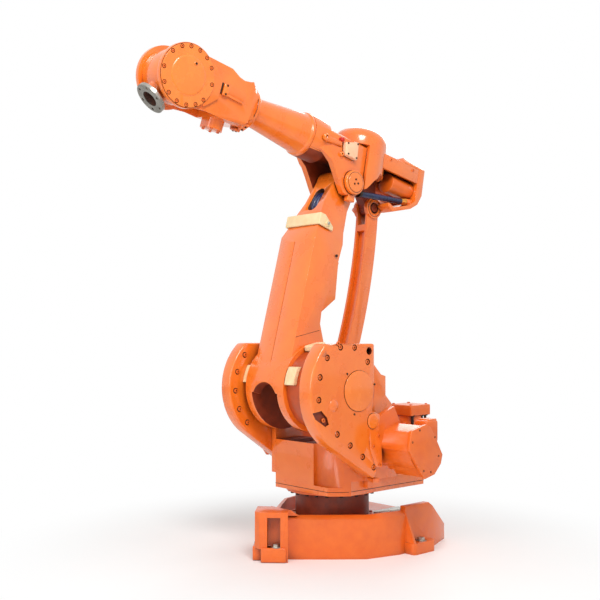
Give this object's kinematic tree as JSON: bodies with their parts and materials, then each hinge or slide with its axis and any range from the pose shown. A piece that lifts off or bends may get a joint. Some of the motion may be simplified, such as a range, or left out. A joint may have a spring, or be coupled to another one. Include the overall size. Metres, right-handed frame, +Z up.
{
  "type": "industrial robot arm",
  "caption": "Six-axis floor robot with a parallel rod: base, turntable between gear housings, leaning lower arm, upper arm, forearm tube, tilting wrist and tool flange.",
  "frame": {"origin": "on the floor under axis 1, the vertical turning axis", "axes": "+Z up, +X the way the arm points at rest, +Y the robot's left"},
  "size_m": [1.4357, 0.9586, 1.9869],
  "materials": {
    "orange_paint": "gloss",
    "motor_paint": "satin",
    "cream_plastic": "satin",
    "machined_steel": "satin",
    "hose_rubber": "satin"
  },
  "bodies": {
    "base": {"base_casting": "orange_paint", "axis_1_ring": "machined_steel"},
    "turntable": {"turntable_flange": "orange_paint", "turntable_frame": "orange_paint", "left_gear_housing": "orange_paint", "right_gear_housing": "orange_paint", "left_gear_unit": "machined_steel", "right_gear_unit": "machined_steel", "left_round_cover": "orange_paint", "right_round_cover": "orange_paint", "left_motor": "orange_paint", "left_motor_cap": "orange_paint", "right_motor": "orange_paint", "right_motor_cap": "orange_paint", "axis_1_motor": "orange_paint", "axis_1_motor_plate": "orange_paint", "left_side_frame": "orange_paint", "right_side_frame": "orange_paint", "left_stop_block": "cream_plastic", "right_stop_block": "cream_plastic"},
    "lower_arm": {"lower_arm_casting": "orange_paint", "arm_guard": "cream_plastic", "arm_cable": "hose_rubber"},
    "lever": {"lever_arm": "orange_paint"},
    "rod": {"parallel_rod": "orange_paint"},
    "upper_arm": {"upper_arm_housing": "orange_paint", "drum_housing": "orange_paint", "rear_beam": "orange_paint", "rear_end_plate": "orange_paint", "left_arm_motor": "motor_paint", "right_arm_motor": "motor_paint", "left_pivot_cap": "orange_paint", "right_pivot_cap": "orange_paint", "elbow_pin": "machined_steel", "junction_box_cover": "orange_paint", "tail_hose": "hose_rubber"},
    "forearm": {"forearm_tube": "orange_paint", "wrist_housing": "orange_paint", "left_wrist_cover": "orange_paint", "right_wrist_cover": "orange_paint"},
    "tilt": {"tilt_head": "orange_paint", "left_trunnion": "machined_steel", "right_trunnion": "machined_steel"},
    "flange": {"tool_flange": "machined_steel"}
  },
  "joints": [
    {"name": "axis_1", "type": "hinge", "parent": "base", "child": "turntable", "pos_m": [0, 0, 0.24], "axis": [0, 0, 1], "range_deg": [-165, 165]},
    {"name": "axis_2", "type": "hinge", "parent": "turntable", "child": "lower_arm", "pos_m": [0.2, 0, 0.68], "axis": [0, 1, 0], "range_deg": [-55.2, 109.8]},
    {"name": "axis_3", "type": "hinge", "parent": "lower_arm", "child": "upper_arm", "pos_m": [-0.02735, 0, 1.54047], "axis": [0, -1, 0], "range_deg": [-60, 54]},
    {"name": "lever_pivot", "type": "hinge", "parent": "lower_arm", "child": "lever", "pos_m": [0.2, 0, 0.68], "axis": [0, -1, 0], "range_deg": [-60, 54]},
    {"name": "rod_pivot", "type": "hinge", "parent": "lever", "child": "rod", "pos_m": [0.00529, 0, 0.59614], "axis": [0, -1, 0], "range_deg": [-54, 60]},
    {"name": "axis_4", "type": "hinge", "parent": "upper_arm", "child": "forearm", "pos_m": [-0.05597, 0, 1.68772], "axis": [0.9816, 0, 0.1908], "range_deg": [-190.5, 209.5]},
    {"name": "axis_5", "type": "hinge", "parent": "forearm", "child": "tilt", "pos_m": [0.80786, 0, 1.85563], "axis": [0.0315, 0.9863, -0.162], "range_deg": [-175.5, 64.5]},
    {"name": "axis_6", "type": "hinge", "parent": "tilt", "child": "flange", "pos_m": [0.90742, -0.01904, 1.75906], "axis": [0.7111, -0.136, -0.6898], "range_deg": [-400, 400]}
  ],
  "couplings": [
    {"joint": "lever_pivot", "follows": "axis_3", "ratio": 1},
    {"joint": "rod_pivot", "follows": "axis_3", "ratio": -1}
  ]
}
